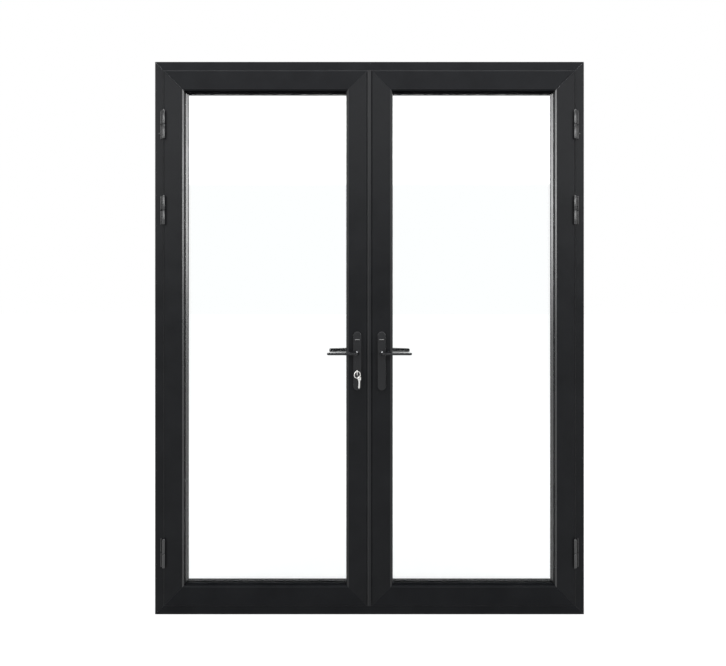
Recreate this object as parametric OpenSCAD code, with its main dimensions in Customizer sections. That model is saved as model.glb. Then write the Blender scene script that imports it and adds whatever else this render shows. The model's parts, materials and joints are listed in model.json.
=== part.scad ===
// Double-leaf glazed clean room door in its frame.
// X runs along the wall, Y runs away from the viewer, Z is up; the floor is at zero height
// and the mid-plane of the closed leaves is at zero depth.

/* [Frame] */
// Overall width of the frame
frame_w = 1630; // [1400:10:1900]
// Overall height of the frame
frame_h = 2100; // [2000:10:2300]
// Face width of each frame member
frame_face = 31; // [28:1:36]
// Wall thickness of the frame extrusion
frame_wall = 2; // [1.6:0.1:2.6]
// Reach of the rear stop past the frame face
stop_reach = 18; // [16:1:24]
// Depth of the rear stop
stop_depth = 12; // [10:1:18]
// Space between the back of a leaf and the stop
stop_gap = 4; // [3.5:0.5:6]
// Gap at each mitred corner
mitre_gap = 0.2; // [0.1:0.05:0.4]
// Radius of a wall fixing hole
fixing_r = 5; // [4:0.5:6]
// Height of the outer fixing holes above the floor and below the top
fixing_end = 150; // [140:5:170]
// Spacing of the inner pair of fixing holes in a jamb
fixing_inner = 600; // [500:10:700]

/* [Leaves] */
// Clearance between a leaf and the frame around it
leaf_gap = 2; // [1.5:0.25:4]
// Clearance between the two leaves where they meet
meeting_gap = 15; // [14:0.5:18]
// Depth of a leaf
leaf_depth = 66; // [60:1:76]
// How far the leaf face stands proud of the frame face
leaf_proud = 6; // [5:0.5:8]
// Bevel on the outer front edge of a leaf member
leaf_bevel = 4; // [2:0.5:6]
// Wall thickness of the leaf extrusion
leaf_wall = 2.2; // [1.8:0.1:2.6]
// Width of the hollow tube of a leaf member
tube_w = 70; // [64:1:80]
// Reach of the front lip past the tube
lip_reach = 4; // [3:0.5:5]
// Thickness of the front lip
lip_t = 10; // [8:0.5:12]
// Round on the inner front edge of the lip
lip_round = 3; // [2:0.25:3.5]
// Reach of the rear glazing leg past the tube
leg_reach = 12; // [11:0.5:14]
// Thickness of the rear glazing leg
leg_t = 6; // [4:0.5:7]

/* [Glazing] */
// Thickness of one glass pane
pane_t = 5; // [4:0.5:6]
// Cavity between the two panes
cavity_t = 16; // [12:0.5:18]
// Edge clearance of the glass above the tube
glass_clear = 4; // [3:0.5:5]
// Thickness of each glazing gasket
gasket_t = 3; // [2:0.25:4]
// How far a glazing gasket shows past the bead or the leg
gasket_lip = 0.5; // [0.5:0.25:2]
// Height of the spacer bar between the panes
spacer_h = 6; // [5:0.5:8]
// Reach of the glazing bead past the tube
bead_reach = 10; // [9:0.5:11]
// Wall thickness of the glazing bead
bead_wall = 1.6; // [1.2:0.1:2]
// Round on the bead's inner front edge
bead_round = 2.5; // [1.5:0.25:3]
// Length of a setting block
block_l = 100; // [60:5:140]

/* [Hinges] */
// Length of a hinge
hinge_len = 108; // [90:2:130]
// Radius of the hinge barrel
barrel_r = 6; // [5.5:0.25:6.5]
// Radius of the hinge pin
pin_r = 3.5; // [3:0.25:4]
// Running clearance of the pin in the leaf knuckle
pin_clear = 0.05; // [0.02:0.01:0.08]
// Centre height of the lowest hinge
hinge_low = 235; // [200:5:300]
// Distance of the top hinge's centre below the top
hinge_drop = 240; // [200:5:300]
// Distance between the centres of the two upper hinges
hinge_pair = 325; // [250:5:400]

/* [Handles] */
// Height of the handle spindles above the floor
spindle_z = 995; // [950:5:1050]
// Distance of the spindles from the leaf edge
backset = 38.5; // [34:0.5:42]
// Width of a handle plate
plate_w = 32; // [30:1:36]
// Height of a handle plate
plate_h = 224; // [215:1:240]
// Thickness of a handle plate
plate_t = 8; // [6:0.5:10]
// Height of the plate top above the spindle
plate_over = 81; // [70:1:90]
// Reach of the levers from the mid-plane of the leaf
lever_reach = 93; // [88:1:103]
// Length of a lever from its spindle to its tip
lever_len = 110; // [100:1:130]
// Distance of the lock cylinder below the spindle
cylinder_drop = 72; // [70:1:80]

/* [Lock] */
// Throw of the latch bolt
latch_throw = 11; // [10:0.5:11.5]
// Throw of the dead bolt
dead_throw = 20; // [18:1:22]
// Throw of the shoot bolts
shoot_throw = 18; // [14:1:20]
// Thickness of the lock case
case_t = 15; // [14:0.5:18]
// Clearance round sliding bolts
bolt_clear = 0.3; // [0.2:0.05:0.5]

/* [Hidden] */
$fn = 64;
overrun = 1;
fit_gap = 0.2;
touch_gap = 0.3;
round_fn = 32;

// Colours, as seen on the object
coat = "#34363a";
coat_light = "#43454a";
steel = "#b9bcc0";
nickel = "#d9d6cf";
black_rubber = "#161718";
clear_glass = "#e9f1f2";

// Frame and leaf planes, in depth
leaf_front = -leaf_depth / 2;
leaf_back = leaf_depth / 2;
frame_front = leaf_front + leaf_proud;
stop_front = leaf_back + stop_gap;
frame_back = stop_front + stop_depth;
frame_mid = (frame_front + stop_front) / 2;
stop_tip = frame_face + stop_reach;
cut_span = 4 * (frame_back - leaf_front);

// Left leaf, from its lower hinge-side corner
leaf_x = -frame_w / 2 + frame_face + leaf_gap;
leaf_z = frame_face + leaf_gap;
leaf_w = frame_w / 2 - frame_face - leaf_gap - meeting_gap / 2;
leaf_h = frame_h - 2 * leaf_z;
leaf_edge = leaf_x + leaf_w;
bevel_inset = leaf_bevel + leaf_wall * (sqrt(2) - 1);
lip_u = tube_w + lip_reach;
leg_u = tube_w + leg_reach;
bead_u = tube_w + bead_reach;

// Glazing stack, built up from the rear leg
glass_u = tube_w + glass_clear;
glass_back = leaf_back - leg_t - gasket_t;
glass_front = glass_back - 2 * pane_t - cavity_t;
bead_back = glass_front - gasket_t;
bead_clear = fit_gap;
bead_front = leaf_front + lip_t + bead_clear;
spacer_inset = 2;
gasket_foot = glass_u + 1.5;
block_share = 0.25;

// Corner cleats
cleat_clear = 0.2;
frame_cleat_arm = 70;
frame_cleat_d = 26;
leaf_cleat_arm = 130;
leaf_cleat_d = 22;

// Frame gasket on the stop
seal_foot_w = 8;
seal_foot_t = 1.5;
seal_wall = 0.7;
seal_u = leaf_z + 7;
seal_h = stop_gap - touch_gap;
seal_r = (seal_h - seal_foot_t / 2) / 2;

// Hinges
hinge_in = 3.5;
hinge_x = leaf_x + hinge_in;
hinge_y = leaf_front - barrel_r - 1;
hinge_zs = [hinge_low, frame_h - hinge_drop - hinge_pair, frame_h - hinge_drop];
knuckle_gap = 0.3;
knuckle_len = (hinge_len - knuckle_gap) / 2;
flange_w = 8;
flange_t = 3;
flange_right = -frame_w / 2 + frame_face;
web_w = 6;
foot_w = 9;
foot_t = 4;
pin_head_t = 2;
pin_head_r = barrel_r - 1;

// Handles, on the left leaf
handle_x = leaf_edge - backset;
plate_top = spindle_z + plate_over;
plate_bevel = 2.5;
ridge_w = 19;
ridge_h = 5;
ridge_proud = 1.5;
ridge_drop = 34;
collar_r = 9;
collar_proud = 8;
collar_clear = 0.05;
neck_r = 6.5;
grip_root_r = 10;
grip_root_h = 14;
grip_rise = 1.5;
grip_tip_r = 7;
grip_tip_h = 9;
grip_edge_share = 0.3;
grip_droop = 0.5;
grip_y = lever_reach - grip_root_r;
spindle_side = 8;
spindle_fit = 0.1;
spindle_half = lever_reach - 2 * grip_root_r - 5;
stile_hole_r = 11;

// Lock case in the active leaf
face_t = 3;
face_w = 20;
face_over = 75;
face_under = 125;
case_wall = 1.5;
case_back = leaf_edge - tube_w + leaf_wall + 4;
case_front = leaf_edge - face_t;
case_top = spindle_z + 42;
case_bottom = spindle_z - 110;
follower_r = 10;
follower_boss_r = 8;
follower_clear = 0.05;
bolt_t = case_t - 2 * case_wall - 1;
latch_low = spindle_z + follower_r + 3;
latch_h = 20;
latch_tail = 34;
latch_tip = leaf_edge + latch_throw;
latch_bevel = 7;
dead_low = spindle_z - 55;
dead_h = 24;
dead_tail = 40;
dead_tip = leaf_edge - 0.5;

// Lock cylinder and keys
cylinder_z = spindle_z - cylinder_drop;
cylinder_r = 8.5;
cylinder_web = 10;
cylinder_leg = 16;
cylinder_proud = 3;
cylinder_half = leaf_depth / 2 + plate_t + cylinder_proud;
cylinder_clear = 0.3;
plug_r = 6.5;
plug_clear = 0.05;
key_t = 2.2;
key_blade_h = 8;
key_blade_l = 26;
key_clear = 0.1;
key_shoulder = 1.5;
bow_r = 13;
spare_bow_r = 10.5;
bow_hole_r = 3.5;
bow_hole_out = 4;
bow_hole_up = 6;
bow_y = -cylinder_half - key_shoulder - bow_r;
ring_y = bow_y - bow_hole_out;
ring_r = 11.5;
ring_turn = 30;
ring_slack = 0.7;
wire_r = 0.9;
ring_z = cylinder_z + bow_hole_up - bow_hole_r + wire_r + ring_slack - ring_r;
spare_hole_z = ring_z - ring_r + wire_r + ring_slack - bow_hole_r;
spare_bow_z = spare_hole_z - 5;
spare_tip_z = cylinder_z - 63;
spare_turn = 50;
spare_blade_w = 7;
tip_share = 0.55;
bit_first = 7;
bit_step = 4.5;
bit_side = 2.8;
bit_count = 4;

// Meeting strip on the passive leaf, and the bolts in it
strip_edge = meeting_gap / 2;
strip_head_half = strip_edge - 4;
strip_head_right = strip_edge - 1.2;
strip_head_t = 6;
strip_front = leaf_front + 3;
strip_back = leaf_back - 2;
strip_web = -2;
rod_side = 5.4;
rod_y = 12;
rod_x = strip_edge - bolt_clear - rod_side / 2;
channel_half = rod_side / 2 + bolt_clear;
rod_gap = 66;
rod_rest = 1;
rod_tip_h = 2;
bulb_y = -12;
bulb_wall = 0.8;
bulb_r = (strip_edge + strip_web - touch_gap) / 2;
strike_t = 1.5;
strike_w = 16;
strike_margin = 9;
strike_low = dead_low - strike_margin;
strike_high = latch_low + latch_h + strike_margin;
bolt_hole_gap = 0.8;
pocket_floor = strip_edge - 2;
keep_t = 2;
keep_w = 44;
keep_d = 20;
box_back = strip_edge + tube_w - leaf_wall - 4;
box_low = dead_low + dead_h + 10;
box_high = spindle_z + 60;
box_hole_r = spindle_side * 0.75;

SIDES = ["left", "right", "bottom", "top"];

// Turns a piece made for the left leaf into its twin on the right leaf
module right_hand() mirror([1, 0, 0]) children();

// Turns a piece on the front face into its twin on the back face
module back_side() mirror([0, 1, 0]) children();

// Lays an upright bar made along a left edge onto one side of a rectangle
module on_side(side, w, h) {
    if (side == "left") children();
    if (side == "right") translate([w, 0, 0]) mirror([1, 0, 0]) children();
    if (side == "bottom") mirror([1, 0, -1]) children();
    if (side == "top") translate([0, 0, h]) mirror([0, 0, 1]) mirror([1, 0, -1]) children();
}

// An upright bar of the child section, cut to a mitre at both ends
module mitred_bar(length, reach) {
    intersection() {
        linear_extrude(length) children();
        rotate([90, 0, 0])
            linear_extrude(cut_span, center = true)
                polygon([
                    [0, mitre_gap], [0, length - mitre_gap],
                    [reach, length - reach - mitre_gap], [reach, reach + mitre_gap]
                ]);
    }
}

function side_length(side, w, h) = (side == "left" || side == "right") ? h : w;

// A bar of the child section on one side of the frame
module frame_side(side)
    translate([-frame_w / 2, 0, 0])
        on_side(side, frame_w, frame_h)
            mitred_bar(side_length(side, frame_w, frame_h), stop_tip + overrun)
                children();

// A bar of the child section on one side of the left leaf
module leaf_side(side)
    translate([leaf_x, 0, leaf_z])
        on_side(side, leaf_w, leaf_h)
            mitred_bar(side_length(side, leaf_w, leaf_h), max(leg_u, bead_u) + gasket_lip + overrun)
                children();

// Hollow frame extrusion with its rear stop
module frame_section() {
    difference() {
        polygon([
            [0, frame_front], [frame_face, frame_front], [frame_face, stop_front],
            [stop_tip, stop_front], [stop_tip, frame_back], [0, frame_back]
        ]);
        polygon([
            [frame_wall, frame_front + frame_wall],
            [frame_face - frame_wall, frame_front + frame_wall],
            [frame_face - frame_wall, stop_front + frame_wall],
            [stop_tip - frame_wall, stop_front + frame_wall],
            [stop_tip - frame_wall, frame_back - frame_wall],
            [frame_wall, frame_back - frame_wall]
        ]);
    }
}

// Hollow leaf extrusion with a bevelled edge, a rounded front lip and a rear glazing leg
module leaf_section() {
    round_u = lip_u - lip_round;
    round_y = leaf_front + lip_round;
    difference() {
        union() {
            polygon([
                [leaf_bevel, leaf_front], [round_u, leaf_front], [round_u, round_y], [lip_u, round_y],
                [lip_u, leaf_front + lip_t], [tube_w, leaf_front + lip_t], [tube_w, leaf_back - leg_t],
                [leg_u, leaf_back - leg_t], [leg_u, leaf_back], [0, leaf_back], [0, leaf_front + leaf_bevel]
            ]);
            translate([round_u, round_y]) circle(lip_round);
        }
        polygon([
            [bevel_inset, leaf_front + leaf_wall], [tube_w - leaf_wall, leaf_front + leaf_wall],
            [tube_w - leaf_wall, leaf_back - leaf_wall], [leaf_wall, leaf_back - leaf_wall],
            [leaf_wall, leaf_front + bevel_inset]
        ]);
    }
}

// Clip-in hollow bead behind the front lip, rounded towards the glass
module bead_section() {
    foot = tube_w + bead_clear;
    difference() {
        union() {
            translate([foot, bead_front]) square([bead_u - bead_round - foot, bead_back - bead_front]);
            translate([foot, bead_front + bead_round])
                square([bead_u - foot, bead_back - bead_front - bead_round]);
            translate([bead_u - bead_round, bead_front + bead_round]) circle(bead_round);
        }
        translate([foot + bead_wall, bead_front + bead_wall])
            square([bead_u - foot - 2 * bead_wall, bead_back - bead_front - 2 * bead_wall]);
    }
}

// Front and rear glazing gaskets, side by side in depth
module gasket_sections()
    for (row = [[bead_back, bead_u], [glass_back, leg_u]])
        translate([gasket_foot, row[0]])
            square([row[1] + gasket_lip - gasket_foot, gasket_t]);

// Soft bulb on a flat foot that the leaf closes against
module frame_gasket_section() {
    translate([seal_u - seal_foot_w / 2, stop_front - seal_foot_t]) square([seal_foot_w, seal_foot_t]);
    translate([seal_u, stop_front - seal_h + seal_r])
        difference() {
            circle(seal_r);
            circle(seal_r - seal_wall);
        }
}

// L-shaped block that joins two bars at a corner of a rectangle
module corner_cleat(arm, near, far, y, depth)
    translate([0, y, 0])
        for (side = ["left", "bottom"])
            on_side(side, arm, arm)
                translate([near, 0, near])
                    cube([far - near, depth, arm - near]);

// The child at the lower left corner, repeated at all four corners
module at_corners(w, h)
    for (right = [0, 1], top = [0, 1])
        translate([right * w, 0, top * h])
            mirror([right, 0, 0])
                mirror([0, 0, top])
                    children();

// Wall fixing holes through a jamb
module jamb_fixings()
    for (z = [fixing_end, (frame_h - fixing_inner) / 2, (frame_h + fixing_inner) / 2, frame_h - fixing_end])
        translate([-frame_w / 2 - overrun, frame_mid, z])
            rotate([0, 90, 0])
                cylinder(r = fixing_r, h = frame_face + 2 * overrun);

// Square way for a shoot bolt
module rod_way(length, gap)
    translate([rod_x - rod_side / 2 - gap, rod_y - rod_side / 2 - gap, 0])
        cube([rod_side + 2 * gap, rod_side + 2 * gap, length]);

module frame_head() color(coat)
    difference() {
        frame_side("top") frame_section();
        translate([0, 0, frame_h - frame_face - overrun])
            rod_way(frame_wall + 2 * overrun, bolt_hole_gap);
        for (side = [-1, 1])
            translate([side * (frame_w / 2 - fixing_inner / 2), frame_mid, frame_h - frame_face - overrun])
                cylinder(r = fixing_r, h = frame_face + 2 * overrun);
    }

module frame_left_jamb() color(coat)
    difference() {
        frame_side("left") frame_section();
        jamb_fixings();
    }

module frame_right_jamb() color(coat) right_hand()
    difference() {
        frame_side("left") frame_section();
        jamb_fixings();
    }

module threshold() color(coat)
    difference() {
        frame_side("bottom") frame_section();
        translate([0, 0, frame_face - frame_wall - overrun])
            rod_way(frame_wall + 2 * overrun, bolt_hole_gap);
    }

module frame_corner_cleats() color(steel)
    translate([-frame_w / 2, 0, 0])
        at_corners(frame_w, frame_h)
            corner_cleat(frame_cleat_arm, frame_wall + cleat_clear, frame_face - frame_wall - cleat_clear,
                frame_front + frame_wall + cleat_clear, frame_cleat_d);

module frame_gasket() color(black_rubber)
    for (side = SIDES) frame_side(side) frame_gasket_section();

// Plate with a square hole that a shoot bolt enters
module bolt_keep()
    difference() {
        translate([rod_x - keep_w / 2, rod_y - keep_d / 2, 0]) cube([keep_w, keep_d, keep_t]);
        translate([0, 0, -overrun]) rod_way(keep_t + 2 * overrun, bolt_hole_gap);
    }

module head_bolt_keep() color(steel)
    translate([0, 0, frame_h - frame_face - keep_t]) bolt_keep();

module threshold_bolt_keep() color(steel)
    translate([0, 0, frame_face]) bolt_keep();

// Frame half of one hinge: face flange, web and lower knuckle
module hinge_frame_wing() {
    translate([flange_right - flange_w, frame_front - flange_t, 0])
        cube([flange_w, flange_t, hinge_len]);
    linear_extrude(knuckle_len)
        difference() {
            union() {
                translate([hinge_x, hinge_y]) circle(barrel_r);
                polygon([
                    [flange_right - web_w, frame_front - flange_t / 2],
                    [flange_right, frame_front - flange_t / 2],
                    [flange_right, frame_front - flange_t],
                    [hinge_x - barrel_r * cos(45), hinge_y + barrel_r * sin(45)],
                    [hinge_x, hinge_y],
                    [hinge_x - barrel_r, hinge_y]
                ]);
            }
            translate([hinge_x, hinge_y]) circle(pin_r);
        }
}

// Leaf half of one hinge: foot on the leaf face and upper knuckle
module hinge_leaf_wing()
    translate([0, 0, hinge_len - knuckle_len])
        linear_extrude(knuckle_len)
            difference() {
                union() {
                    translate([hinge_x, hinge_y]) circle(barrel_r);
                    translate([leaf_x + leaf_bevel, leaf_front - foot_t]) square([foot_w, foot_t]);
                    polygon([
                        [hinge_x, hinge_y],
                        [hinge_x + barrel_r, hinge_y],
                        [leaf_x + leaf_bevel + foot_w - foot_t, leaf_front - foot_t],
                        [leaf_x + leaf_bevel + foot_w - foot_t, leaf_front],
                        [leaf_x + leaf_bevel, leaf_front]
                    ]);
                }
                translate([hinge_x, hinge_y]) circle(pin_r + pin_clear);
            }

// Pin of one hinge, with its cap above the upper knuckle
module hinge_pin()
    translate([hinge_x, hinge_y, 0]) {
        cylinder(r = pin_r, h = hinge_len + knuckle_gap);
        translate([0, 0, hinge_len + knuckle_gap]) cylinder(r1 = pin_head_r, r2 = pin_r, h = pin_head_t);
    }

// The child at each of the three hinge heights
module at_hinges()
    for (z = hinge_zs)
        translate([0, 0, z - hinge_len / 2])
            children();

module left_hinge_frame_wings() color(coat_light) at_hinges() hinge_frame_wing();
module right_hinge_frame_wings() color(coat_light) right_hand() at_hinges() hinge_frame_wing();
module left_hinge_pins() color(steel) at_hinges() hinge_pin();
module right_hinge_pins() color(steel) right_hand() at_hinges() hinge_pin();
module left_hinge_leaf_wings() color(coat_light) at_hinges() hinge_leaf_wing();
module right_hinge_leaf_wings() color(coat_light) right_hand() at_hinges() hinge_leaf_wing();

// Round hole through a leaf for the handle spindle
module spindle_hole(r)
    translate([handle_x, 0, spindle_z])
        rotate([90, 0, 0])
            cylinder(r = r, h = cut_span, center = true);

// Keyhole-shaped section of the lock cylinder, with a clearance all round
module cylinder_section(gap) {
    circle(cylinder_r + gap);
    translate([-cylinder_web / 2 - gap, -cylinder_leg - gap])
        square([cylinder_web + 2 * gap, cylinder_leg + gap]);
    translate([0, -cylinder_leg]) circle(cylinder_web / 2 + gap);
}

// The child section run through the leaf at the lock cylinder
module through_cylinder(length)
    translate([handle_x, 0, cylinder_z])
        rotate([90, 0, 0])
            linear_extrude(length, center = true)
                children();

// Lock faceplate, with a clearance all round
module faceplate_block(gap)
    translate([case_front, -face_w / 2 - gap, spindle_z - face_under - gap])
        cube([face_t + gap, face_w + 2 * gap, face_under + face_over + 2 * gap]);

// Way through an edge for the latch and the dead bolt
module bolt_way(low, h, gap, x_from, x_to)
    translate([x_from, -bolt_t / 2 - gap, low - gap])
        cube([x_to - x_from, bolt_t + 2 * gap, h + 2 * gap]);

module left_top_rail() color(coat) leaf_side("top") leaf_section();
module right_top_rail() color(coat) right_hand() leaf_side("top") leaf_section();
module left_bottom_rail() color(coat) leaf_side("bottom") leaf_section();
module right_bottom_rail() color(coat) right_hand() leaf_side("bottom") leaf_section();
module left_hinge_stile() color(coat) leaf_side("left") leaf_section();
module right_hinge_stile() color(coat) right_hand() leaf_side("left") leaf_section();

module left_lock_stile() color(coat)
    difference() {
        leaf_side("right") leaf_section();
        spindle_hole(stile_hole_r);
        through_cylinder(cut_span) cylinder_section(cylinder_clear);
        faceplate_block(fit_gap);
    }

module right_lock_stile() color(coat)
    difference() {
        right_hand() leaf_side("right") leaf_section();
        right_hand() spindle_hole(stile_hole_r);
        bolt_way(dead_low, dead_h, bolt_hole_gap, strip_edge - overrun, strip_edge + leaf_wall + overrun);
    }

module leaf_cleats()
    translate([leaf_x, 0, leaf_z])
        at_corners(leaf_w, leaf_h)
            corner_cleat(leaf_cleat_arm, leaf_wall + cleat_clear, tube_w - leaf_wall - cleat_clear,
                leaf_front + leaf_bevel + leaf_wall, leaf_cleat_d);

module left_corner_cleats() color(steel) leaf_cleats();
module right_corner_cleats() color(steel) right_hand() leaf_cleats();

// A box on the leaf's pane, inset from the leaf edge
module pane_box(inset, y, t)
    translate([leaf_x + inset, y, leaf_z + inset])
        cube([leaf_w - 2 * inset, t, leaf_h - 2 * inset]);

module glass_panes()
    for (y = [glass_front, glass_back - pane_t]) pane_box(glass_u, y, pane_t);

module left_glass_panes() color(clear_glass, 0.3) glass_panes();
module right_glass_panes() color(clear_glass, 0.3) right_hand() glass_panes();

// Hollow bar that keeps the panes apart all round
module glass_spacer()
    difference() {
        pane_box(glass_u + spacer_inset, glass_front + pane_t, cavity_t);
        pane_box(glass_u + spacer_inset + spacer_h, glass_front + pane_t - overrun, cavity_t + 2 * overrun);
    }

module left_glass_spacer() color(steel) glass_spacer();
module right_glass_spacer() color(steel) right_hand() glass_spacer();

module glazing_beads() for (side = SIDES) leaf_side(side) bead_section();
module left_glazing_beads() color(coat_light) glazing_beads();
module right_glazing_beads() color(coat_light) right_hand() glazing_beads();

module glazing_gaskets() for (side = SIDES) leaf_side(side) gasket_sections();
module left_glazing_gaskets() color(black_rubber) glazing_gaskets();
module right_glazing_gaskets() color(black_rubber) right_hand() glazing_gaskets();

// Two blocks that carry the glass on the bottom rail
module setting_blocks()
    for (share = [block_share, 1 - block_share])
        translate([leaf_x + leaf_w * share - block_l / 2, glass_front, leaf_z + tube_w])
            cube([block_l, glass_back - glass_front, glass_clear]);

module left_setting_blocks() color(black_rubber) setting_blocks();
module right_setting_blocks() color(black_rubber) right_hand() setting_blocks();

// Long round-ended plate with a chamfered front edge
module plate_body() {
    r = plate_w / 2;
    low = plate_top - plate_h + r;
    for (z = [low, plate_top - r])
        translate([handle_x, leaf_front, z])
            rotate([90, 0, 0]) {
                cylinder(r = r, h = plate_t - plate_bevel);
                translate([0, 0, plate_t - plate_bevel])
                    cylinder(r1 = r, r2 = r - plate_bevel, h = plate_bevel);
            }
    translate([handle_x, leaf_front, low])
        linear_extrude(plate_h - plate_w)
            polygon([
                [-r, 0], [-r, plate_bevel - plate_t], [plate_bevel - r, -plate_t],
                [r - plate_bevel, -plate_t], [r, plate_bevel - plate_t], [r, 0]
            ]);
}

// Handle plate on the front face, with a raised ridge and the hole for the lever collar
module handle_plate()
    difference() {
        union() {
            plate_body();
            translate([handle_x, leaf_front - plate_t, plate_top - ridge_drop])
                rotate([0, 90, 0])
                    intersection() {
                        cylinder(r = ridge_h / 2, h = ridge_w, center = true);
                        translate([0, ridge_h / 2 - ridge_proud, 0]) cube(ridge_h + ridge_w, center = true);
                    }
        }
        spindle_hole(collar_r + collar_clear);
    }

// The same plate with the keyhole for the lock cylinder
module keyed_plate()
    difference() {
        handle_plate();
        through_cylinder(cut_span) cylinder_section(cylinder_clear);
    }

module left_front_plate() color(coat_light) keyed_plate();
module left_back_plate() color(coat_light) back_side() keyed_plate();
module right_front_plate() color(coat_light) right_hand() handle_plate();
module right_back_plate() color(coat_light) right_hand() back_side() handle_plate();

// Disc with a rounded rim, the end form of a lever grip
module grip_disc(r, h) {
    edge = h * grip_edge_share;
    rotate_extrude($fn = round_fn) {
        square([r - edge, h]);
        translate([0, edge]) square([r, h - 2 * edge]);
        for (z = [edge, h - edge]) translate([r - edge, z]) circle(edge, $fn = round_fn / 2);
    }
}

// Square spindle hole or bar, centred on the mid-plane
module spindle_bar(side, length)
    translate([handle_x, 0, spindle_z])
        cube([side, length, side], center = true);

// Lever on the front face: collar, neck and a tapered grip with a level underside
module lever()
    difference() {
        union() {
            translate([handle_x, 0, spindle_z])
                rotate([90, 0, 0]) {
                    translate([0, 0, leaf_depth / 2 + touch_gap])
                        cylinder(r = collar_r, h = plate_t + collar_proud - touch_gap);
                    translate([0, 0, leaf_depth / 2 + touch_gap])
                        cylinder(r = neck_r, h = grip_y - leaf_depth / 2 - touch_gap);
                }
            hull() {
                translate([handle_x, -grip_y, spindle_z + grip_rise - grip_root_h / 2])
                    grip_disc(grip_root_r, grip_root_h);
                translate([handle_x - lever_len + grip_tip_r, -grip_y,
                        spindle_z - grip_droop - grip_tip_h / 2])
                    grip_disc(grip_tip_r, grip_tip_h);
            }
        }
        spindle_bar(spindle_side + 2 * spindle_fit, 2 * (spindle_half + spindle_fit));
    }

module left_front_lever() color(coat) lever();
module left_back_lever() color(coat) back_side() lever();
module right_front_lever() color(coat) right_hand() lever();
module right_back_lever() color(coat) right_hand() back_side() lever();
module left_spindle() color(steel) spindle_bar(spindle_side, 2 * spindle_half);
module right_spindle() color(steel) right_hand() spindle_bar(spindle_side, 2 * spindle_half);

// Thin-walled case behind the faceplate
module lock_case() color(steel)
    difference() {
        translate([case_back, -case_t / 2, case_bottom])
            cube([case_front - case_back, case_t, case_top - case_bottom]);
        translate([case_back + case_wall, case_wall - case_t / 2, case_bottom + case_wall])
            cube([case_front - case_back - 2 * case_wall, case_t - 2 * case_wall,
                case_top - case_bottom - 2 * case_wall]);
        spindle_hole(follower_boss_r + follower_clear);
        through_cylinder(cut_span) cylinder_section(cylinder_clear);
        for (bolt = [[latch_low, latch_h], [dead_low, dead_h]])
            bolt_way(bolt[0], bolt[1], bolt_clear, case_front - case_wall - overrun, case_front + overrun);
    }

module lock_faceplate() color(steel)
    difference() {
        faceplate_block(0);
        for (bolt = [[latch_low, latch_h], [dead_low, dead_h]])
            bolt_way(bolt[0], bolt[1], bolt_clear, case_front - overrun, leaf_edge + overrun);
    }

// Hub that the spindle turns inside the case
module lock_follower() color(steel)
    difference() {
        translate([handle_x, 0, spindle_z])
            rotate([90, 0, 0]) {
                cylinder(r = follower_boss_r, h = case_t, center = true);
                cylinder(r = follower_r, h = bolt_t, center = true);
            }
        spindle_bar(spindle_side + 2 * spindle_fit, case_t + 2 * overrun);
    }

// Spring latch with its nose bevelled towards the closing side
module latch_bolt() color(steel)
    translate([0, 0, latch_low])
        linear_extrude(latch_h)
            polygon([
                [leaf_edge - latch_tail, -bolt_t / 2], [latch_tip - latch_bevel / 2, -bolt_t / 2],
                [latch_tip, -bolt_t / 2 + latch_bevel / 4], [latch_tip, bolt_t / 2 - latch_bevel],
                [latch_tip - latch_bevel, bolt_t / 2], [leaf_edge - latch_tail, bolt_t / 2]
            ]);

module dead_bolt() color(steel)
    bolt_way(dead_low, dead_h, 0, leaf_edge - dead_tail, dead_tip);

module lock_cylinder() color(nickel)
    through_cylinder(2 * cylinder_half)
        difference() {
            cylinder_section(0);
            circle(plug_r + plug_clear);
        }

// Turning core of the cylinder, slotted for the key
module cylinder_plug() color(nickel)
    difference() {
        through_cylinder(2 * cylinder_half) circle(plug_r);
        translate([handle_x, 0, cylinder_z])
            cube([key_t + 2 * key_clear, cut_span, key_blade_h + 2 * key_clear], center = true);
    }

// Round key head with its ring hole, standing in the plane of the blade
module key_bow(r, hole_y, hole_z)
    rotate([0, 90, 0])
        difference() {
            cylinder(r = r, h = key_t, center = true);
            translate([-hole_z, hole_y, 0]) cylinder(r = bow_hole_r, h = key_t + 2 * overrun, center = true);
        }

module key() color(nickel)
    translate([handle_x, 0, cylinder_z]) {
        translate([0, bow_y, 0]) key_bow(bow_r, -bow_hole_out, bow_hole_up);
        translate([-key_t / 2, bow_y + bow_r - key_shoulder, -key_blade_h / 2])
            cube([key_t, key_blade_l + 2 * key_shoulder, key_blade_h]);
    }

module key_ring() color(nickel)
    translate([handle_x, ring_y, ring_z])
        rotate([90, 0, ring_turn])
            rotate_extrude()
                translate([ring_r, 0]) circle(wire_r, $fn = round_fn);

// Blade of the second key, pointed at the tip and notched along one edge
module spare_blade()
    difference() {
        polygon([
            [-spare_blade_w / 2, spare_bow_z - spare_bow_r * cos(45)],
            [spare_blade_w / 2, spare_bow_z - spare_bow_r * cos(45)],
            [spare_blade_w / 2, spare_tip_z + spare_blade_w * tip_share],
            [0, spare_tip_z],
            [-spare_blade_w / 2, spare_tip_z + spare_blade_w * tip_share]
        ]);
        for (i = [0 : bit_count - 1])
            translate([spare_blade_w / 2, spare_tip_z + bit_first + i * bit_step])
                rotate(45) square(bit_side, center = true);
    }

// Second key, hanging from the ring with its blade down
module spare_key() color(nickel)
    translate([handle_x, ring_y, 0])
        rotate([0, 0, spare_turn]) {
            translate([0, 0, spare_bow_z]) key_bow(spare_bow_r, 0, spare_hole_z - spare_bow_z);
            rotate([90, 0, 90])
                linear_extrude(key_t, center = true) spare_blade();
        }

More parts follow.
